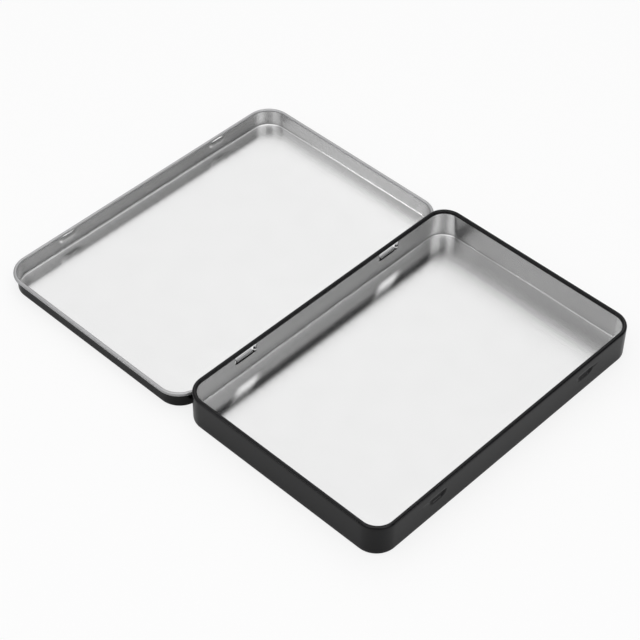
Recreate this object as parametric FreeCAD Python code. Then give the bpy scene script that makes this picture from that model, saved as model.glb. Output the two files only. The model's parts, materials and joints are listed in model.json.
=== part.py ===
"""Flat tinplate box for cards, a deep tray and a shallow lid joined by a rim hinge.

Each tray is one pressed sheet: a flat floor, a wall round a rounded rectangle and a rolled
rim. The tray's rim is rolled inwards and the lid's is rolled outwards. The lid is laid open
flat behind the tray. Millimetres, +Z up, +X along the hinge, +Y towards the lid, and the
origin in the middle of the tray's floor, on the surface that both stand on.
"""

import FreeCAD, Part
import math
import os

# Driving sizes of the tray
LENGTH = 160.0  # outside the walls, along the hinge
WIDTH = 108.2  # outside the walls, front to back
HEIGHT = 15.8  # from the table to the top of the rolled rim
CORNER = 9.75  # outer radius of the upright corners
SHEET = 0.25  # tinplate
FLOOR_BEND = 1.0  # outer radius where the floor turns up into the wall
TRAY_ROLL = 2.0  # diameter of the tray's rolled rim

# The lid, which closes over the outside of the tray
LID_CLEARANCE = 0.3  # all round, between the lid's wall and the tray's
LID_SEAT = 0.15  # between the lid's top and the tray's rim when shut
LID_ROLL = 1.7  # diameter of the lid's rolled rim
ROLL_TURN = 300.0  # degrees of roll, the same on both rims
CHORD_TURN = 30.0  # degrees of a bend or long roll drawn as one chord, true to 0.04 mm

# Hinges: a bar of the tray's back wall, inside the roll of the lid's rim
HINGE_PLACES = (-44.0, 44.0)
WINDOW_LENGTH = 12.3
WINDOW_HEAD = 1.3  # of wall left between the window and the tray's rolled rim
WINDOW_SILL = 0.7  # below the hinge line
BAR_HEIGHT = 0.7
KNUCKLE_LENGTH = 9.0  # of the lid's roll that turns on the bar
KNUCKLE_PLAY = 0.2  # at each end of the knuckle, before the bar bends in to the wall
NOTCH_MARGIN = 0.15  # how far the gap in the lid's rim runs past the window's end
NOTCH_DEPTH = 0.35  # past the roll, into the lid's wall

# Catches: pips in the lid's front wall snap into half moons pressed in the tray's
CATCH_PLACES = (-46.0, 46.0)
PIP_LENGTH = 9.0
PIP_HEIGHT = 3.1
PIP_RISE = 0.5
MOON_LENGTH = 10.0
MOON_HEIGHT = 2.9
MOON_DEPTH = 0.85
MOON_ABOVE_PIP = 1.5  # from the middle of the shut pip up to the moon's straight edge
PIP_ABOVE_ROLL = 1.7  # from the hinge line up to the middle of the shut pip

# The hinge line is the middle of the lid's roll. Half the shut height puts the open lid flat
# on the table.
SHUT_HEIGHT = HEIGHT + LID_SEAT + SHEET
LID_ROLL_RADIUS = LID_ROLL / 2
HINGE_Y = WIDTH / 2 + LID_CLEARANCE + LID_ROLL_RADIUS
HINGE_Z = SHUT_HEIGHT / 2
LID_WALL = LID_CLEARANCE + SHEET  # how far the lid's wall stands outside the tray's
BEYOND = 1.0  # how far a cutter runs past what it cuts


def vector(x, y, z):
    return FreeCAD.Vector(x, y, z)


def polar(centre, radius, degrees):
    """A point on a circle in the XZ plane."""
    turn = math.radians(degrees)
    return centre + vector(radius * math.cos(turn), 0, radius * math.sin(turn))


def rounded(centre, radius, start, end):
    """Points along a bend or roll between two directions in degrees, either way round."""
    chords = round(abs(end - start) / CHORD_TURN)
    turn = (end - start) / chords
    return [polar(centre, radius, start + turn * chord) for chord in range(chords + 1)]


def block(low, high):
    """A box between two corners."""
    size = high - low
    return Part.makeBox(size.x, size.y, size.z, low)


def sheet_section(wall, roll_height, roll_radius, outwards):
    """The upright section of a tray from the floor's edge to the end of the rolled rim.

    X is measured outwards from the middle of the corner's curve, and wall is the outer face.
    The sheet's outer skin goes up and its inner skin comes back.
    """
    bend = vector(wall - FLOOR_BEND, 0, FLOOR_BEND)
    if outwards:
        roll = vector(wall - SHEET + roll_radius, 0, roll_height)
        outer, inner, start, end = roll_radius - SHEET, roll_radius, 180, 180 - ROLL_TURN
    else:
        roll = vector(wall - roll_radius, 0, roll_height)
        outer, inner, start, end = roll_radius, roll_radius - SHEET, 0, ROLL_TURN
    skins = []
    for bend_radius, radius in ((FLOOR_BEND, outer), (FLOOR_BEND - SHEET, inner)):
        skins.append(rounded(bend, bend_radius, -90, 0) + rounded(roll, radius, start, end))
    outline = skins[0] + skins[1][::-1]
    return Part.Face(Part.makePolygon(outline + outline[:1]))


def carried_round(section):
    """A section carried once round the box's rounded rectangle, side and corner in turn."""
    pieces = []
    for quarter in range(4):
        across, along = (LENGTH, WIDTH) if quarter % 2 == 0 else (WIDTH, LENGTH)
        corner = vector(across / 2 - CORNER, along / 2 - CORNER, 0)
        edge = section.translated(corner)
        side = edge.extrude(vector(0, -2 * corner.y, 0))
        bend = edge.revolve(corner, vector(0, 0, 1), 90)
        for piece in (side, bend):
            piece.rotate(vector(0, 0, 0), vector(0, 0, 1), 90 * quarter)
            pieces.append(piece)
    return pieces


def floor_plate(wall):
    """The flat of a tray's floor, inside the bend; wall is how far its wall stands out."""
    radius = CORNER + wall - FLOOR_BEND
    length, width = (side + 2 * (wall - FLOOR_BEND) for side in (LENGTH, WIDTH))
    plate = block(vector(-length / 2, -width / 2, 0), vector(length / 2, width / 2, SHEET))
    uprights = [edge for edge in plate.Edges if abs(edge.tangentAt(edge.FirstParameter).z) > 0.5]
    return plate.makeFillet(radius, uprights)


def open_tray(wall, roll_height, roll_radius, outwards):
    """A floor, wall and rolled rim; wall is how far the wall's face is outside the box's."""
    section = sheet_section(CORNER + wall, roll_height, roll_radius, outwards)
    return floor_plate(wall).multiFuse(carried_round(section)).removeSplitter()


def pressed_form(place, length, height, depth, grow):
    """The oblong dome that presses a sheet, its middle at place, bulging towards +Y.

    It is a round bar with round ends whose middle lies behind the sheet's face. Grown by the
    sheet's thickness it is the far skin of the same pressing.
    """
    half = height / 2
    radius = (half**2 + depth**2) / (2 * depth)
    straight = (length - height) / 2
    middle = place + vector(0, depth - radius, 0)
    left, right = middle - vector(straight, 0, 0), middle + vector(straight, 0, 0)
    bar = Part.makeCylinder(radius + grow, 2 * straight, left, vector(1, 0, 0))
    ends = [Part.makeSphere(radius + grow, end) for end in (left, right)]
    reach = vector(straight + radius + grow + BEYOND, 0, radius + grow + BEYOND)
    kept = block(place - reach, place + reach + vector(0, depth + grow + BEYOND, 0))
    return bar.multiFuse(ends).removeSplitter().common(kept)


def below(solid, top):
    """What of a solid lies under a height."""
    box = solid.BoundBox
    low = vector(box.XMin - BEYOND, box.YMin - BEYOND, box.ZMin - BEYOND)
    return solid.common(block(low, vector(box.XMax + BEYOND, box.YMax + BEYOND, top)))


def half_moon(place, grow):
    """A pressed form cut off level at its middle, where it is deepest."""
    form = pressed_form(place, MOON_LENGTH, 2 * MOON_HEIGHT, MOON_DEPTH, grow)
    return below(form, place.z + grow)


def pip(place, grow):
    """The dome that the lid's front wall is pressed in with."""
    return pressed_form(place, PIP_LENGTH, PIP_HEIGHT, PIP_RISE, grow)


def turned_round(solid, place):
    """A solid turned half round about the upright line through place."""
    return solid.rotated(place, vector(0, 0, 1), 180)


def hinge_window(x):
    """The hole in the tray's back wall round one hinge bar."""
    half = WINDOW_LENGTH / 2
    low = vector(x - half, WIDTH / 2 - SHEET - BEYOND, HINGE_Z - WINDOW_SILL)
    high = vector(x + half, WIDTH / 2 + BEYOND, HEIGHT - TRAY_ROLL - WINDOW_HEAD)
    return block(low, high)


def hinge_bar(x):
    """The strip pressed out of the back wall, with its straight middle on the hinge line."""
    straight = KNUCKLE_LENGTH / 2 + KNUCKLE_PLAY
    end = WINDOW_LENGTH / 2
    wall, bar = WIDTH / 2, HINGE_Y + SHEET / 2
    # Outer skin from left to right. The ends lap the wall, and the legs slope out to the bar.
    skin = [(-end - BEYOND, wall), (-end, wall), (-straight, bar)]
    skin += [(-along, out) for along, out in reversed(skin)]
    inner = [(along, out - SHEET) for along, out in reversed(skin)]
    outline = [vector(x + along, out, HINGE_Z - BAR_HEIGHT / 2) for along, out in skin + inner]
    face = Part.Face(Part.makePolygon(outline + outline[:1]))
    return face.extrude(vector(0, 0, BAR_HEIGHT))


def rim_gap(x):
    """The gap cut in the lid's rim for one hinge, a little longer than the window."""
    half, reach = WINDOW_LENGTH / 2 + NOTCH_MARGIN, LID_ROLL_RADIUS + BEYOND
    low = vector(x - half, HINGE_Y - reach, HINGE_Z - LID_ROLL_RADIUS - NOTCH_DEPTH)
    return block(low, vector(x + half, HINGE_Y + reach, HINGE_Z + reach))


def knuckle(x):
    """The tongue of wall and truly round roll, left in a rim gap, that turns on the bar."""
    start, low = x - KNUCKLE_LENGTH / 2, HINGE_Z - LID_ROLL_RADIUS - NOTCH_DEPTH

    def on_roll(radius, degrees):
        turn = math.radians(degrees)
        return vector(start, HINGE_Y + radius * math.cos(turn), HINGE_Z + radius * math.sin(turn))

    skins = []
    for radius in (LID_ROLL_RADIUS, LID_ROLL_RADIUS - SHEET):
        first, middle, last = (on_roll(radius, ROLL_TURN * share) for share in (0, 0.5, 1))
        foot = vector(start, first.y, low)
        skins.append((foot, last, Part.makeLine(foot, first), Part.Arc(first, middle, last)))
    edges = [edge for skin in skins for edge in (skin[2], skin[3].toShape())]
    edges += [Part.makeLine(skins[0][end], skins[1][end]) for end in (0, 1)]
    face = Part.Face(Part.Wire(Part.__sortEdges__(edges)))
    return face.extrude(vector(KNUCKLE_LENGTH, 0, 0))


def base_tray():
    """The deep tray, with hinge bars in its back wall and half moons in its front wall."""
    roll_radius = TRAY_ROLL / 2
    tray = open_tray(0, HEIGHT - roll_radius, roll_radius, outwards=False)
    moon_height = HINGE_Z + PIP_ABOVE_ROLL + MOON_ABOVE_PIP
    moons = [vector(x, -WIDTH / 2, moon_height) for x in CATCH_PLACES]
    tray = tray.multiFuse([half_moon(place, SHEET) for place in moons])
    tray = tray.cut([half_moon(place, 0) for place in moons])
    tray = tray.cut([hinge_window(x) for x in HINGE_PLACES])
    return tray.multiFuse([hinge_bar(x) for x in HINGE_PLACES]).removeSplitter()


def lid_tray():
    """The shallow lid, laid open flat behind the tray."""
    lid = open_tray(LID_WALL, HINGE_Z, LID_ROLL_RADIUS, outwards=True)
    lid.translate(vector(0, 2 * HINGE_Y, 0))
    lid = lid.cut([rim_gap(x) for x in HINGE_PLACES])
    lid = lid.multiFuse([knuckle(x) for x in HINGE_PLACES])
    front = 2 * HINGE_Y + WIDTH / 2 + LID_WALL
    pips = [vector(x, front, HINGE_Z - PIP_ABOVE_ROLL) for x in CATCH_PLACES]
    lid = lid.multiFuse([turned_round(pip(place, SHEET), place) for place in pips])
    return lid.cut([turned_round(pip(place, 0), place) for place in pips]).removeSplitter()


os.makedirs("parts", exist_ok=True)
for name, shape in (("base_tray", base_tray()), ("lid_tray", lid_tray())):
    solid = shape.Solids[0]
    if len(shape.Solids) != 1 or not solid.isValid():
        raise RuntimeError(f"{name} is {len(shape.Solids)} solids, valid {shape.isValid()}")
    solid.exportStep(f"parts/{name}.step")
    box = solid.BoundBox
    print(name, f"{box.XLength:.2f} x {box.YLength:.2f} x {box.ZLength:.2f} mm,", end=" ")
    print(f"{solid.Volume:.1f} mm3, {len(solid.Faces)} faces")
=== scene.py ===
"""A flat hinged card tin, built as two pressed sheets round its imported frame.

Each tray is one sheet of tinplate: a grid of the sheet's middle carried round the box, with
windows pierced, bars, pips and half moons pressed, and then given its thickness. The inside
is bare tinplate and the outside is lacquered, so the rim that rolls inwards shows lacquer and
the rim that rolls outwards shows metal.
"""

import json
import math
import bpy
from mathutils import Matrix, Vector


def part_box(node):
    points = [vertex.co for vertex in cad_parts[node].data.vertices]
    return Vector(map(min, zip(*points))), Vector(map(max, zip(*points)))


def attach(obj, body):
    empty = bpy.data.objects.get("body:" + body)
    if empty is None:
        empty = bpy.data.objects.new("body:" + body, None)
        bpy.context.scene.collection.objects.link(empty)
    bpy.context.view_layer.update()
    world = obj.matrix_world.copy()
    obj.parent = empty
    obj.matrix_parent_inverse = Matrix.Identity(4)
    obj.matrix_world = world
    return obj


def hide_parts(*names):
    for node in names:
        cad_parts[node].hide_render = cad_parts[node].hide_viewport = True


bl_info = {
    "name": "Card Tin Box",
    "version": (1, 0, 0),
    "blender": (4, 5, 0),
    "location": "View3D > Sidebar > Card Tin",
    "description": "Builds a hinged tinplate card box and a plain studio round its frame",
    "category": "Object",
}

import bmesh
import bpy
from mathutils import Matrix, Vector

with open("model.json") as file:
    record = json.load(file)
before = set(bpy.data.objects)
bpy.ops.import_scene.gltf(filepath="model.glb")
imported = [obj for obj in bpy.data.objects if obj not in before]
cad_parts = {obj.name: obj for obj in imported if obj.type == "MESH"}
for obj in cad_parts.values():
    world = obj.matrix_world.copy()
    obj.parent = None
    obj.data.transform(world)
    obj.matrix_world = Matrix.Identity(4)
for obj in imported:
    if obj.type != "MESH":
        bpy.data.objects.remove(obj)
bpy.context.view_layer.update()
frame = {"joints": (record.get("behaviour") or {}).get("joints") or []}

MM = 0.001
TRAY_LOW, TRAY_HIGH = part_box("base_tray")
LID_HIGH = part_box("lid_tray")[1]
HINGE = Vector(frame["joints"][0]["pos_m"])
LID_MIDDLE = 2 * HINGE.y  # the open lid mirrors the tray about the hinge
SAME_PLACE = 1e-6  # metres within which two points are one
SHEET_MAP = "sheet"  # the UV map that lays the pressed sheet out flat again, in metres

# The sheet's grid and its faces
ROW_SHARE = 0.6  # spacing of the rows up a pressing, as a share of that along it
FOOT_SHARE = 1 / 8  # size of a pressing's rounded foot, as a share of its soft edge
WALL_MATERIAL, ROLL_MATERIAL = 0, 2  # the inside's materials, each followed by the outside's
SHARP_ANGLE = math.radians(40)  # edges of the sheet's cut sides, which stay crisp

# Finishes
GRAIN_LENGTH = 12  # the grain's length over its width
GRAIN_SHARE = 0.35  # how much of the tinplate's unevenness follows the grain
UNEVEN_RANGE = (0.4, 0.95)  # lowest and highest values of that unevenness
TIN_UNEVENNESS = 0.008  # change of roughness each way
RIM_UNEVENNESS = 0.06
LACQUER_UNEVENNESS = 0.04
LACQUER_IOR = 1.33  # a thin satin film mirrors less than a thick gloss one
PEEL_STRENGTH, PEEL_HEIGHT = 0.04, 0.02 * MM

# The stage
FLOOR_REACH = 3.0  # metres from the middle to the floor's edges
FLOOR_CORNERS = ((-1, -1), (1, -1), (1, 1), (-1, 1))
SEEN_WHITE = 0.8  # share of plain white in the floor that the camera sees
MIRRORED_WHITE = 0.1  # and in the floor that metal or glass shows
ROOM_HEIGHTS = (0.1, 0.6)  # sines of the heights between which the room gets lighter
SOFTBOX_FACING = (-137, 76)  # degrees round from +X and above the table
SOFTBOX_DISTANCE, SOFTBOX_SIZE = 1.2, 1.1  # metres


def linear(hex_colour):
    """An sRGB hex colour as the linear values that shaders take."""
    channels = [int(hex_colour[start : start + 2], 16) / 255 for start in (1, 3, 5)]
    return [c / 12.92 if c <= 0.04045 else ((c + 0.055) / 1.055) ** 2.4 for c in channels]


def length_property(name, description, default_mm):
    """A size that is shown in the scene's units."""
    return bpy.props.FloatProperty(
        name=name, description=description, default=default_mm * MM, unit="LENGTH", precision=5
    )


def colour_property(name, description, hex_colour):
    """A colour, given as sRGB hex and kept as linear values."""
    return bpy.props.FloatVectorProperty(
        name=name, description=description, default=linear(hex_colour), subtype="COLOR", size=3
    )


def angle_property(name, description, degrees):
    """An angle that is shown in degrees."""
    return bpy.props.FloatProperty(
        name=name, description=description, default=math.radians(degrees), subtype="ANGLE"
    )


class SheetSettings(bpy.types.PropertyGroup):
    """The pressed sheet that both trays are made of."""

    thickness: length_property("Thickness", "Thickness of the tinplate", 0.25)
    corner: length_property("Corner", "Outer radius of the tray's upright corners", 9.75)
    bend: length_property("Bend", "Outer radius where the floor turns up into the wall", 1.0)
    tray_roll: length_property("Tray roll", "Diameter of the tray's inward rolled rim", 2.0)
    roll_turn: angle_property("Roll turn", "How far the rims are rolled", 300)
    spacing: length_property("Spacing", "Widest spacing of the sheet's grid", 4.0)
    fine_spacing: length_property("Fine spacing", "Grid spacing at the pressings", 0.35)
    corner_steps: bpy.props.IntProperty(
        name="Corner steps", description="Grid steps round an upright corner", default=18
    )
    bend_steps: bpy.props.IntProperty(
        name="Bend steps", description="Grid steps up the floor's bend", default=6
    )
    roll_steps: bpy.props.IntProperty(
        name="Roll steps", description="Grid steps round a rolled rim", default=26
    )


class HingeSettings(bpy.types.PropertyGroup):
    """The two hinges: a bar of the tray's back wall inside a knuckle of the lid's rim."""

    place: length_property("Place", "Distance of each hinge from the middle", 44.0)
    window: length_property("Window", "Length of the window pierced round the bar", 12.3)
    head: length_property("Head", "Wall left between the window and the rolled rim", 1.3)
    sill: length_property("Sill", "From the hinge line down to the window's sill", 0.7)
    bar: length_property("Bar", "Height of the bar", 0.7)
    knuckle: length_property("Knuckle", "Length of the lid's roll that turns on the bar", 9.0)
    play: length_property("Play", "Gap at each end of the knuckle", 0.2)
    margin: length_property("Margin", "How far a notch runs past the window's end", 0.15)
    depth: length_property("Depth", "How far a notch is cut below the roll", 0.35)


class CatchSettings(bpy.types.PropertyGroup):
    """The two catches: pips in the lid's front wall and half moons in the tray's."""

    place: length_property("Place", "Distance of each catch from the middle", 46.0)
    pip_length: length_property("Pip length", "Length of a pip", 9.0)
    pip_height: length_property("Pip height", "Height of a pip up the wall", 3.1)
    pip_rise: length_property("Pip rise", "How far a pip stands out of the wall", 0.5)
    pip_drop: length_property("Pip drop", "From the open lid's hinge line down to a pip", 1.7)
    moon_length: length_property("Moon length", "Length of a half moon's straight edge", 10.0)
    moon_height: length_property("Moon height", "Height of a half moon", 2.9)
    moon_depth: length_property("Moon depth", "Depth of a half moon at its straight edge", 0.85)
    moon_lift: length_property("Moon lift", "From the hinge line up to the straight edge", 3.2)
    draw: length_property("Draw", "Width of the soft edge of a pressing", 0.3)


class FinishSettings(bpy.types.PropertyGroup):
    """Colours and grain of the two finishes."""

    tinplate: colour_property("Tinplate", "Bare bright tinplate", "#D6D6D6")
    rim: colour_property("Rim", "Tinplate dulled by rolling", "#B8B8B9")
    tin_roughness: bpy.props.FloatProperty(
        name="Tin roughness", description="Blur of the tinplate's reflections", default=0.215
    )
    rim_roughness: bpy.props.FloatProperty(
        name="Rim roughness", description="Blur of the tinplate on a rolled rim", default=0.5
    )
    tin_direction: bpy.props.FloatProperty(
        name="Tin direction", description="How far the blur runs across the grain", default=1.0
    )
    grain: length_property("Grain", "Width of the rolling grain, coarse enough to show", 2.5)
    wave: length_property("Wave", "Height of the slight waves along the grain", 0.055)
    mottle: length_property("Mottle", "Size of the tin coating's soft patches", 14.0)
    lacquer: colour_property("Lacquer", "Stoved black lacquer", "#08080A")
    lacquer_roughness: bpy.props.FloatProperty(
        name="Lacquer roughness", description="Blur of the lacquer's gloss", default=0.19
    )
    peel: length_property("Peel", "Size of the lacquer's fine ripple", 0.9)


class StudioSettings(bpy.types.PropertyGroup):
    """The camera and the plain studio."""

    target: bpy.props.FloatVectorProperty(
        name="Target",
        description="Point on the table that the camera looks at",
        default=(-0.7 * MM, 52.7 * MM, 0),
        subtype="TRANSLATION",
    )
    distance: length_property("Distance", "From the target to the camera", 825.8)
    azimuth: angle_property("Azimuth", "Camera's turn about the upright, 0 from the front", -46.67)
    elevation: angle_property("Elevation", "Camera's height above the table", 45.1)
    roll: angle_property("Roll", "Camera's roll", 0.83)
    lens: bpy.props.FloatProperty(
        name="Lens", description="Focal length in millimetres", default=107.7
    )
    floor: colour_property("Floor", "Pale floor", "#DADADA")
    seen_floor: colour_property("Seen floor", "The floor where the camera sees it", "#F6F6F6")
    horizon: bpy.props.FloatProperty(
        name="Horizon", description="Level of the room near the floor", default=0.35
    )
    room: bpy.props.FloatProperty(
        name="Room", description="Level of the room above that", default=0.57
    )
    screen: bpy.props.FloatProperty(
        name="Screen", description="Level of the white screen behind the box", default=1.42
    )
    side_screens: bpy.props.FloatProperty(
        name="Side screens", description="Level of the side screens", default=1.3
    )
    top_screens: bpy.props.FloatProperty(
        name="Top screens", description="Level of the two screens high above", default=0.95
    )
    low_lamps: bpy.props.FloatProperty(
        name="Low lamps", description="Level of the two small lamps near the table", default=6.0
    )
    flag: bpy.props.FloatProperty(
        name="Flag", description="Level of the dark flag that the far corners show", default=0.1
    )
    overhead: bpy.props.FloatProperty(
        name="Overhead", description="Power of the overhead lamp", default=4.4, unit="POWER"
    )


# Materials


def add_node(tree, kind, settings=None, **inputs):
    """A node with its settings, and its inputs as values or as the sockets that feed them."""
    node = tree.nodes.new(kind)
    for name, value in (settings or {}).items():
        setattr(node, name, value)
    for name, value in inputs.items():
        socket = node.inputs[int(name[1:]) if name[1:].isdigit() else name.replace("_", " ")]
        if isinstance(value, bpy.types.NodeSocket):
            tree.links.new(value, socket)
        else:
            socket.default_value = value
    return node


def new_material(name, viewport):
    """An empty node material with the colour that a solid view shows."""
    material = bpy.data.materials.new(name)
    material.use_nodes = True
    material.node_tree.nodes.clear()
    material.diffuse_color = (*viewport, 1)
    return material


def flow_melted_tinplate(finish):
    """Bright electrolytic tinplate, cold rolled and flow melted.

    The melted tin mirrors its surroundings, and the rolled steel under it blurs them across
    the grain more than along it. The grain runs from front to back of the sheet. Real grain is
    too fine to show, so it is drawn coarser.
    """
    material = new_material("flow_melted_tinplate", finish.tinplate)
    tree = material.node_tree
    blank = add_node(tree, "ShaderNodeUVMap", {"uv_map": SHEET_MAP}).outputs["UV"]
    stretched = add_node(
        tree, "ShaderNodeMapping", Vector=blank, Scale=(1, 1 / GRAIN_LENGTH, 1)
    ).outputs["Vector"]
    grain = add_node(
        tree, "ShaderNodeTexNoise", Vector=stretched, Scale=1 / finish.grain, Detail=3.0
    ).outputs["Fac"]
    patches = add_node(
        tree, "ShaderNodeTexNoise", Vector=blank, Scale=1 / finish.mottle, Detail=2.0
    ).outputs["Fac"]
    mixed = add_node(
        tree, "ShaderNodeMath", {"operation": "MULTIPLY_ADD"}, _0=grain, _1=GRAIN_SHARE, _2=patches
    ).outputs["Value"]
    roughness = add_node(
        tree,
        "ShaderNodeMapRange",
        Value=mixed,
        From_Min=UNEVEN_RANGE[0],
        From_Max=UNEVEN_RANGE[1],
        To_Min=finish.tin_roughness - TIN_UNEVENNESS,
        To_Max=finish.tin_roughness + TIN_UNEVENNESS,
    ).outputs["Result"]
    bump = add_node(
        tree, "ShaderNodeBump", Height=grain, Strength=1.0, Distance=finish.wave
    ).outputs["Normal"]
    across = add_node(
        tree, "ShaderNodeTangent", {"direction_type": "UV_MAP", "uv_map": SHEET_MAP}
    ).outputs["Tangent"]
    shader = add_node(
        tree,
        "ShaderNodeBsdfPrincipled",
        Base_Color=(*finish.tinplate, 1),
        Metallic=1.0,
        Roughness=roughness,
        Anisotropic=finish.tin_direction,
        Tangent=across,
        Normal=bump,
    )
    add_node(tree, "ShaderNodeOutputMaterial", Surface=shader.outputs["BSDF"])
    return material


def rolled_rim_tinplate(finish):
    """Tinplate whose bright coat is dulled by rolling the rim, so that it shows an even grey."""
    material = new_material("rolled_rim_tinplate", finish.rim)
    tree = material.node_tree
    place = add_node(tree, "ShaderNodeTexCoord").outputs["Object"]
    scuff = add_node(
        tree, "ShaderNodeTexNoise", Vector=place, Scale=1 / finish.grain, Detail=2.0
    ).outputs["Fac"]
    roughness = add_node(
        tree,
        "ShaderNodeMapRange",
        Value=scuff,
        To_Min=finish.rim_roughness - RIM_UNEVENNESS,
        To_Max=finish.rim_roughness + RIM_UNEVENNESS,
    ).outputs["Result"]
    shader = add_node(
        tree,
        "ShaderNodeBsdfPrincipled",
        Base_Color=(*finish.rim, 1),
        Metallic=1.0,
        Roughness=roughness,
    )
    add_node(tree, "ShaderNodeOutputMaterial", Surface=shader.outputs["BSDF"])
    return material


def stoved_lacquer(finish):
    """Black stoving lacquer, roller coated on the sheet before it is pressed.

    It is a smooth hard film with a satin gloss, and its slight ripple breaks up reflections.
    """
    material = new_material("stoved_lacquer", finish.lacquer)
    tree = material.node_tree
    place = add_node(tree, "ShaderNodeTexCoord").outputs["Object"]
    ripple = add_node(
        tree, "ShaderNodeTexNoise", Vector=place, Scale=1 / finish.peel, Detail=2.0
    ).outputs["Fac"]
    roughness = add_node(
        tree,
        "ShaderNodeMapRange",
        Value=ripple,
        To_Min=finish.lacquer_roughness - LACQUER_UNEVENNESS,
        To_Max=finish.lacquer_roughness + LACQUER_UNEVENNESS,
    ).outputs["Result"]
    bump = add_node(
        tree, "ShaderNodeBump", Height=ripple, Strength=PEEL_STRENGTH, Distance=PEEL_HEIGHT
    ).outputs["Normal"]
    shader = add_node(
        tree,
        "ShaderNodeBsdfPrincipled",
        Base_Color=(*finish.lacquer, 1),
        Roughness=roughness,
        Normal=bump,
        IOR=LACQUER_IOR,
    )
    add_node(tree, "ShaderNodeOutputMaterial", Surface=shader.outputs["BSDF"])
    return material


def once(maker, finish):
    """The material that a maker makes, made the first time it is asked for."""
    return bpy.data.materials.get(maker.__name__) or maker(finish)


# The sheet's grid


def spaced(start, end, spacing):
    """Values from start to end, evenly spaced and no wider apart than spacing."""
    steps = max(math.ceil(abs(end - start) / spacing - SAME_PLACE), 1)
    return [start + (end - start) * step / steps for step in range(steps + 1)]


def spread(marks, spacing):
    """The marks in order, with evenly spaced values between them."""
    marks = sorted(marks)
    values = [marks[0]]
    for start, end in zip(marks, marks[1:]):
        values += spaced(start, end, spacing)[1:]
    return [v for i, v in enumerate(values) if i == 0 or v - values[i - 1] > SAME_PLACE]


def arc_points(centre, radius, start, end, steps):
    """(out, up) points along an arc between two angles, without the first."""
    turn = (end - start) / steps
    angles = [start + turn * step for step in range(1, steps + 1)]
    return [(centre[0] + radius * math.cos(a), centre[1] + radius * math.sin(a)) for a in angles]


def sheet_rows(sheet, corner, heights, roll, roll_radius, start, end):
    """The sheet's middle from the floor's corner centres to the end of the roll.

    Each row is (out, up): out is measured from the wall's outer face, and heights are the rows
    up the wall.
    """
    middle = sheet.thickness / 2
    bend = (-sheet.bend, sheet.bend)
    rows = [(out, middle) for out in spaced(-corner, -sheet.bend, sheet.spacing)]
    rows += arc_points(bend, sheet.bend - middle, -math.pi / 2, 0, sheet.bend_steps)
    rows += [(-middle, up) for up in heights[1:]]
    rows += arc_points(roll, roll_radius - middle, start, end, sheet.roll_steps)
    return rows


def stations(half, corner, long_marks, short_marks, steps):
    """Places round the box, anticlockwise from the left of the front wall.

    Each is (side, along, anchor, direction). The anchor lies on the rectangle of corner
    centres, and direction points out of the wall.
    """
    across, deep = half.x - corner, half.y - corner
    walls = (
        ("front", [(x, -deep) for x in long_marks], -math.pi / 2),
        ("right", [(across, y) for y in short_marks], 0.0),
        ("back", [(x, deep) for x in reversed(long_marks)], math.pi / 2),
        ("left", [(-across, y) for y in reversed(short_marks)], math.pi),
    )
    places = []
    for side, anchors, turn in walls:
        outward = Vector((math.cos(turn), math.sin(turn)))
        for anchor in anchors:
            along = anchor[0] if side in ("front", "back") else anchor[1]
            places.append((side, along, Vector(anchor), outward))
        for step in range(1, steps):
            angle = turn + math.pi / 2 * step / steps
            direction = Vector((math.cos(angle), math.sin(angle)))
            places.append(("corner", 0.0, Vector(anchors[-1]), direction))
    return places


def pressed_sheet(name, middle_y, corner, places, rows, marks, pressed, pierced, roll_steps):
    """A mesh of the sheet's middle, facing the tray's inside, with its roll's own material.

    pressed(side, along, up, row) is how far a point is pushed out of the wall, and
    pierced(side, along, up, row) says whether a face, by its middle, is cut away.
    """
    mesh_maker = bmesh.new()
    flat_out = [0.0]
    for before, after in zip(rows, rows[1:]):
        flat_out.append(flat_out[-1] + math.dist(before, after))
    flat_places = {}
    grid = []
    for side, along, anchor, direction in places:
        line = []
        for row, (out, up) in enumerate(rows):
            push = pressed(side, along, up, row)
            spot = anchor + direction * (corner + out + push)
            vertex = mesh_maker.verts.new((spot.x, spot.y + middle_y, up))
            flat_places[vertex] = anchor + direction * flat_out[row]
            line.append(vertex)
        grid.append(line)
    first_roll_row = len(rows) - 1 - roll_steps
    for station, line in enumerate(grid):
        following = (station + 1) % len(grid)
        side, along = places[station][0], (places[station][1] + places[following][1]) / 2
        for row in range(len(rows) - 1):
            up = (rows[row][1] + rows[row + 1][1]) / 2
            if side == places[following][0] and pierced(side, along, up, row):
                continue
            after = grid[following]
            face = mesh_maker.faces.new((line[row], line[row + 1], after[row + 1], after[row]))
            face.material_index = ROLL_MATERIAL if row >= first_roll_row else WALL_MATERIAL
    long_marks, short_marks = marks
    floor_up = rows[0][1]
    floor = [
        [mesh_maker.verts.new((x, y + middle_y, floor_up)) for y in short_marks]
        for x in long_marks
    ]
    for left, right in zip(floor, floor[1:]):
        for near in range(len(short_marks) - 1):
            corners = (left[near], right[near], right[near + 1], left[near + 1])
            mesh_maker.faces.new(corners)
    sheet_map = mesh_maker.loops.layers.uv.new(SHEET_MAP)
    for face in mesh_maker.faces:
        for loop in face.loops:
            place = loop.vert.co.xy - Vector((0, middle_y))
            loop[sheet_map].uv = flat_places.get(loop.vert, place)
    loose = [vertex for vertex in mesh_maker.verts if not vertex.link_faces]
    bmesh.ops.delete(mesh_maker, geom=loose, context="VERTS")
    bmesh.ops.remove_doubles(mesh_maker, verts=mesh_maker.verts, dist=SAME_PLACE)
    mesh = bpy.data.meshes.new(name)
    mesh_maker.to_mesh(mesh)
    mesh_maker.free()
    return mesh


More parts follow.
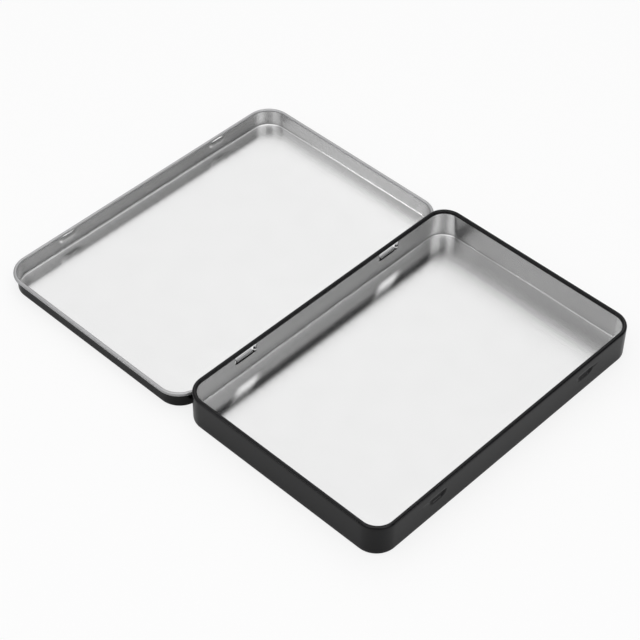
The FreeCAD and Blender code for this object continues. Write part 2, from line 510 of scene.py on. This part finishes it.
def add_sheet_piece(context, name, mesh, thickness, finish):
    """The piece with its thickness: tinplate inside and on the cut edges, lacquer outside."""
    for inside in (flow_melted_tinplate, rolled_rim_tinplate):
        mesh.materials.append(once(inside, finish))
        mesh.materials.append(once(stoved_lacquer, finish))
    piece = bpy.data.objects.new(name, mesh)
    context.scene.collection.objects.link(piece)
    skin = piece.modifiers.new("thickness", "SOLIDIFY")
    skin.thickness = thickness
    skin.offset = 0
    skin.use_even_offset = True
    skin.material_offset = 1
    evaluated = piece.evaluated_get(context.evaluated_depsgraph_get())
    solid = bpy.data.meshes.new_from_object(evaluated)
    piece.modifiers.clear()
    piece.data = solid
    bpy.data.meshes.remove(mesh)
    solid.name = name
    solid.shade_smooth()
    solid.set_sharp_from_angle(angle=SHARP_ANGLE)
    return piece


# Pressings


def dome(along, up, length, height, rise, draw):
    """How far an oblong pressing stands out at a place measured from its middle."""
    half = height / 2
    reach = math.hypot(max(abs(along) - (length / 2 - half), 0), up)
    radius = (half**2 + rise**2) / (2 * rise)
    cap = math.sqrt(max(radius**2 - reach**2, 0)) - (radius - rise)
    # A rounded foot instead of a crease where the cap meets the wall.
    foot = draw * FOOT_SHARE
    return (cap + math.hypot(cap, 2 * foot)) / 2 if cap > -draw else 0.0


def crisp_foot(stand, most):
    """A pressing as high as before in its middle, with a steeper foot that catches the light."""
    return math.sqrt(stand * most)


def soft_step(value, width):
    """0 below minus half the width, 1 above half of it, and smooth between."""
    share = min(max(value / width + 0.5, 0), 1)
    return share * share * (3 - 2 * share)


def near_place(along, place, reach):
    """Where along lies from the nearer of two mirrored places, or None past reach."""
    offset = abs(along) - place
    return offset if abs(offset) <= reach else None


def wall_marks(settings, side_end):
    """Where the long walls need grid lines, from one corner centre to the other."""
    sheet, hinge, catch = settings.card_sheet, settings.card_hinge, settings.card_catch
    window = hinge.window / 2
    hinge_ends = (window + hinge.margin, window, hinge.knuckle / 2 + hinge.play, hinge.knuckle / 2)
    low = min(hinge.place - hinge_ends[0], catch.place - catch.moon_length / 2 - catch.draw)
    high = catch.place + catch.moon_length / 2 + catch.draw
    fine = spaced(low, high, sheet.fine_spacing)
    fine += [hinge.place + sign * end for end in hinge_ends for sign in (-1, 1)]
    marks = {0.0, side_end, *fine}
    return spread(marks | {-mark for mark in marks}, sheet.spacing)


class BuildBaseTray(bpy.types.Operator):
    """Build the deep tray, lacquered outside, with hinge windows, bars and half moons"""

    bl_idname = "card_tin.base_tray"
    bl_label = "Base Tray"

    def execute(self, context):
        scene = context.scene
        sheet, hinge, catch = scene.card_sheet, scene.card_hinge, scene.card_catch
        half = Vector((TRAY_HIGH.x, -TRAY_LOW.y))
        roll_radius = sheet.tray_roll / 2
        roll = (-roll_radius, TRAY_HIGH.z - roll_radius)
        moon_edge = HINGE.z + catch.moon_lift
        window = (HINGE.z - hinge.sill, TRAY_HIGH.z - sheet.tray_roll - hinge.head)
        bar = (HINGE.z - hinge.bar / 2, HINGE.z + hinge.bar / 2)
        moon_low = moon_edge - catch.moon_height
        marks = spaced(moon_low, moon_edge + catch.draw, sheet.fine_spacing * ROW_SHARE)
        heights = spread({sheet.bend, roll[1], HINGE.z, *window, *bar, *marks}, sheet.spacing / 2)
        rows = sheet_rows(
            sheet, sheet.corner, heights, roll, roll_radius, 0.0, sheet.roll_turn
        )
        wall_rows = range(len(rows) - sheet.roll_steps)
        bar_out = HINGE.y - half.y + sheet.thickness / 2
        straight, end = hinge.knuckle / 2 + hinge.play, hinge.window / 2

        def pressed(side, along, up, row):
            if row not in wall_rows or up < sheet.bend:
                return 0.0
            if side == "back" and bar[0] - SAME_PLACE < up < bar[1] + SAME_PLACE:
                offset = near_place(along, hinge.place, end)
                if offset is not None:
                    return bar_out * min((end - abs(offset)) / (end - straight), 1)
            if side == "front":
                # A half moon is the lower half of an oblong whose middle is its straight edge.
                moon = dome(
                    abs(along) - catch.place,
                    up - moon_edge,
                    catch.moon_length,
                    2 * catch.moon_height,
                    catch.moon_depth,
                    catch.draw,
                )
                moon = crisp_foot(moon, catch.moon_depth)
                return -moon * soft_step(moon_edge - up, catch.draw)
            return 0.0

        def pierced(side, along, up, row):
            if side != "back" or near_place(along, hinge.place, end) is None:
                return False
            in_window = row in wall_rows and window[0] < up < window[1]
            return in_window and not bar[0] < up < bar[1]

        long_marks = wall_marks(scene, half.x - sheet.corner)
        short_marks = spaced(sheet.corner - half.y, half.y - sheet.corner, sheet.spacing)
        places = stations(half, sheet.corner, long_marks, short_marks, sheet.corner_steps)
        mesh = pressed_sheet(
            "tray_sheet",
            0.0,
            sheet.corner,
            places,
            rows,
            (long_marks, short_marks),
            pressed,
            pierced,
            sheet.roll_steps,
        )
        tray = add_sheet_piece(context, "tray_sheet", mesh, sheet.thickness, scene.card_finish)
        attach(tray, "base")
        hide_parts("base_tray")
        return {"FINISHED"}


class BuildLidTray(bpy.types.Operator):
    """Build the shallow lid, laid open, with its rim rolled outwards and its knuckles and pips"""

    bl_idname = "card_tin.lid_tray"
    bl_label = "Lid Tray"

    def execute(self, context):
        scene = context.scene
        sheet, hinge, catch = scene.card_sheet, scene.card_hinge, scene.card_catch
        roll_radius = LID_HIGH.z - HINGE.z
        overhang = 2 * roll_radius - sheet.thickness
        half = Vector((LID_HIGH.x - overhang, LID_HIGH.y - LID_MIDDLE - overhang))
        corner = sheet.corner + half.x - TRAY_HIGH.x
        roll = (roll_radius - sheet.thickness, HINGE.z)
        notch_floor = HINGE.z - roll_radius - hinge.depth
        pip_middle = HINGE.z - catch.pip_drop
        reach = catch.pip_height / 2 + catch.draw
        marks = spaced(pip_middle - reach, HINGE.z, sheet.fine_spacing * ROW_SHARE)
        heights = spread({sheet.bend, HINGE.z, notch_floor, *marks}, sheet.spacing / 2)
        rows = sheet_rows(
            sheet, corner, heights, roll, roll_radius, math.pi, math.pi - sheet.roll_turn
        )
        wall_rows = range(len(rows) - sheet.roll_steps)
        inner, outer = hinge.knuckle / 2, hinge.window / 2 + hinge.margin

        def pressed(side, along, up, row):
            if side != "back" or row not in wall_rows or up < sheet.bend:
                return 0.0
            offset = abs(along) - catch.place
            rise = up - pip_middle
            pip = dome(
                offset, rise, catch.pip_length, catch.pip_height, catch.pip_rise, catch.draw
            )
            return -crisp_foot(pip, catch.pip_rise)

        def pierced(side, along, up, row):
            offset = near_place(along, hinge.place, outer)
            if side != "front" or offset is None or abs(offset) < inner:
                return False
            return row >= len(wall_rows) - 1 or (up > notch_floor and row in wall_rows)

        long_marks = wall_marks(scene, half.x - corner)
        short_marks = spaced(corner - half.y, half.y - corner, sheet.spacing)
        places = stations(half, corner, long_marks, short_marks, sheet.corner_steps)
        mesh = pressed_sheet(
            "lid_sheet",
            LID_MIDDLE,
            corner,
            places,
            rows,
            (long_marks, short_marks),
            pressed,
            pierced,
            sheet.roll_steps,
        )
        lid = add_sheet_piece(context, "lid_sheet", mesh, sheet.thickness, scene.card_finish)
        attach(lid, "lid")
        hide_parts("lid_tray")
        return {"FINISHED"}


# The stage


def pale_floor(studio):
    """Pale matt board, lifted towards white where it is seen and a little where it is mirrored."""
    material = new_material("studio_board", studio.seen_floor)
    tree = material.node_tree
    path = add_node(tree, "ShaderNodeLightPath").outputs
    colour = add_node(
        tree,
        "ShaderNodeMix",
        {"data_type": "RGBA"},
        _0=path["Is Camera Ray"],
        _6=(*studio.floor, 1),
        _7=(*studio.seen_floor, 1),
    ).outputs[2]
    board = add_node(tree, "ShaderNodeBsdfDiffuse", Color=colour).outputs["BSDF"]
    white = add_node(tree, "ShaderNodeEmission", Strength=1.0).outputs["Emission"]
    mirrored = add_node(
        tree,
        "ShaderNodeMath",
        {"operation": "MAXIMUM"},
        _0=path["Is Glossy Ray"],
        _1=path["Is Transmission Ray"],
    ).outputs["Value"]
    in_mirror = add_node(
        tree, "ShaderNodeMath", {"operation": "MULTIPLY"}, _0=mirrored, _1=MIRRORED_WHITE
    ).outputs["Value"]
    share = add_node(
        tree,
        "ShaderNodeMath",
        {"operation": "MULTIPLY_ADD"},
        _0=path["Is Camera Ray"],
        _1=SEEN_WHITE,
        _2=in_mirror,
    ).outputs["Value"]
    surface = add_node(tree, "ShaderNodeMixShader", _0=share, _1=board, _2=white)
    add_node(tree, "ShaderNodeOutputMaterial", Surface=surface.outputs["Shader"])
    return material


def add_floor_board(context, studio):
    """The floor that the box stands on."""
    corners = [(x * FLOOR_REACH, y * FLOOR_REACH, 0) for x, y in FLOOR_CORNERS]
    mesh = bpy.data.meshes.new("floor_board")
    mesh.from_pydata(corners, [], [(0, 1, 2, 3)])
    mesh.materials.append(pale_floor(studio))
    board = bpy.data.objects.new("floor_board", mesh)
    context.scene.collection.objects.link(board)


def add_lamp(context, name, place, target, size, power):
    """A square softbox that faces a point."""
    lamp = bpy.data.lights.new(name, "AREA")
    lamp.shape = "SQUARE"
    lamp.size = size
    lamp.energy = power
    softbox = bpy.data.objects.new(name, lamp)
    aim = Vector(place) - Vector(target)
    turn = aim.to_track_quat("Z", "Y").to_matrix().to_4x4()
    softbox.matrix_world = Matrix.Translation(place) @ turn
    context.scene.collection.objects.link(softbox)


def upward(azimuth, elevation):
    """The direction at degrees round from +X and degrees above the table."""
    turn, lift = math.radians(azimuth), math.radians(elevation)
    return (
        math.cos(turn) * math.cos(lift),
        math.sin(turn) * math.cos(lift),
        math.sin(lift),
    )


def light_room(context, studio):
    """A grey room, darker near the table, with what the box mirrors: screens, lamps and flags."""
    world = bpy.data.worlds.new("studio_room")
    context.scene.world = world
    world.use_nodes = True
    tree = world.node_tree
    tree.nodes.clear()
    direction = add_node(tree, "ShaderNodeTexCoord").outputs["Generated"]
    # Where each lies, the degrees from its middle at which it starts to fade and has faded, and
    # its level. A later one lies over those before it.
    screens = (
        (upward(128, 35), 6, 20, 0.97 * studio.side_screens),  # in the right walls
        (upward(-91, 46), 8, 20, 1.2 * studio.side_screens),  # a streak in the far corners
        (upward(-183, 45), 8, 21, 0.8 * studio.side_screens),  # and the streak beside it
        (upward(-135, 43), 9, 18, studio.flag),  # the dark gap between the two streaks
        (upward(-53, 29), 13, 22, 0),  # a black flag in the back walls
        (upward(-3, 63), 6, 19, studio.top_screens),  # in the bends and rims of the long walls
        (upward(93, 63), 6, 19, 0.65 * studio.top_screens),  # and of the short walls
        (upward(-60, 9), 1.5, 6, studio.low_lamps),  # in the feet of the pips and half moons
        (upward(151, 9), 1.5, 6, studio.low_lamps),  # in the short walls' edges
        (upward(43, 46), 15, 27, studio.screen),  # in the floors of both trays
    )
    height = add_node(tree, "ShaderNodeSeparateXYZ", Vector=direction).outputs["Z"]
    level = add_node(
        tree,
        "ShaderNodeMapRange",
        Value=height,
        From_Min=ROOM_HEIGHTS[0],
        From_Max=ROOM_HEIGHTS[1],
        To_Min=studio.horizon,
        To_Max=studio.room,
    ).outputs["Result"]
    for facing, inner, outer, brightness in screens:
        nearness = add_node(
            tree, "ShaderNodeVectorMath", {"operation": "DOT_PRODUCT"}, _0=direction, _1=facing
        ).outputs["Value"]
        share = add_node(
            tree,
            "ShaderNodeMapRange",
            {"interpolation_type": "SMOOTHSTEP"},
            Value=nearness,
            From_Min=math.cos(math.radians(outer)),
            From_Max=math.cos(math.radians(inner)),
        ).outputs["Result"]
        level = add_node(
            tree, "ShaderNodeMix", {"data_type": "FLOAT"}, Factor=share, A=level, B=brightness
        ).outputs["Result"]
    is_camera = add_node(tree, "ShaderNodeLightPath").outputs["Is Camera Ray"]
    strength = add_node(
        tree, "ShaderNodeMix", {"data_type": "FLOAT"}, Factor=is_camera, A=level, B=1.0
    ).outputs["Result"]
    shader = add_node(tree, "ShaderNodeBackground", Color=(1, 1, 1, 1), Strength=strength)
    add_node(tree, "ShaderNodeOutputWorld", Surface=shader.outputs["Background"])


def add_camera(context, studio):
    """A long lens on the box from its front left."""
    camera = bpy.data.objects.new("camera", bpy.data.cameras.new("camera"))
    camera.data.lens = studio.lens
    turn = Matrix.Rotation(studio.azimuth, 4, "Z")
    tilt = Matrix.Rotation(math.pi / 2 - studio.elevation, 4, "X")
    back = Matrix.Translation((0, 0, studio.distance))
    roll = Matrix.Rotation(studio.roll, 4, "Z")
    camera.matrix_world = Matrix.Translation(studio.target) @ turn @ tilt @ roll @ back
    context.scene.collection.objects.link(camera)
    context.scene.camera = camera


class BuildStage(bpy.types.Operator):
    """Set up the pale floor, the studio light and the camera"""

    bl_idname = "card_tin.stage"
    bl_label = "Stage"

    def execute(self, context):
        studio = context.scene.card_studio
        context.scene.view_settings.view_transform = "Standard"
        add_floor_board(context, studio)
        light_room(context, studio)
        middle = (0, HINGE.y, 0)
        above = Vector(middle) + SOFTBOX_DISTANCE * Vector(upward(*SOFTBOX_FACING))
        add_lamp(context, "overhead_softbox", above, middle, SOFTBOX_SIZE, studio.overhead)
        add_camera(context, studio)
        return {"FINISHED"}


class CardTinPanel(bpy.types.Panel):
    """Buttons for the pieces and the stage, with the sizes and colours they use."""

    bl_idname = "VIEW3D_PT_card_tin"
    bl_label = "Card Tin Box"
    bl_space_type = "VIEW_3D"
    bl_region_type = "UI"
    bl_category = "Card Tin"

    def draw(self, context):
        for operator in OPERATORS:
            self.layout.operator(operator.bl_idname)
        for name, group in GROUPS.items():
            box = self.layout.box()
            for setting in group.__annotations__:
                box.prop(getattr(context.scene, name), setting)


GROUPS = {
    "card_sheet": SheetSettings,
    "card_hinge": HingeSettings,
    "card_catch": CatchSettings,
    "card_finish": FinishSettings,
    "card_studio": StudioSettings,
}
OPERATORS = (BuildBaseTray, BuildLidTray, BuildStage)


def register():
    """Register the settings, the operators and the panel."""
    for name, group in GROUPS.items():
        bpy.utils.register_class(group)
        setattr(bpy.types.Scene, name, bpy.props.PointerProperty(type=group))
    for kind in (*OPERATORS, CardTinPanel):
        bpy.utils.register_class(kind)


def unregister():
    """Take them all away again."""
    for kind in (CardTinPanel, *reversed(OPERATORS)):
        bpy.utils.unregister_class(kind)
    for name, group in reversed(GROUPS.items()):
        delattr(bpy.types.Scene, name)
        bpy.utils.unregister_class(group)


def main():
    register()
    bpy.ops.card_tin.base_tray()
    bpy.ops.card_tin.lid_tray()
    bpy.ops.card_tin.stage()


if __name__ == "__main__":
    main()
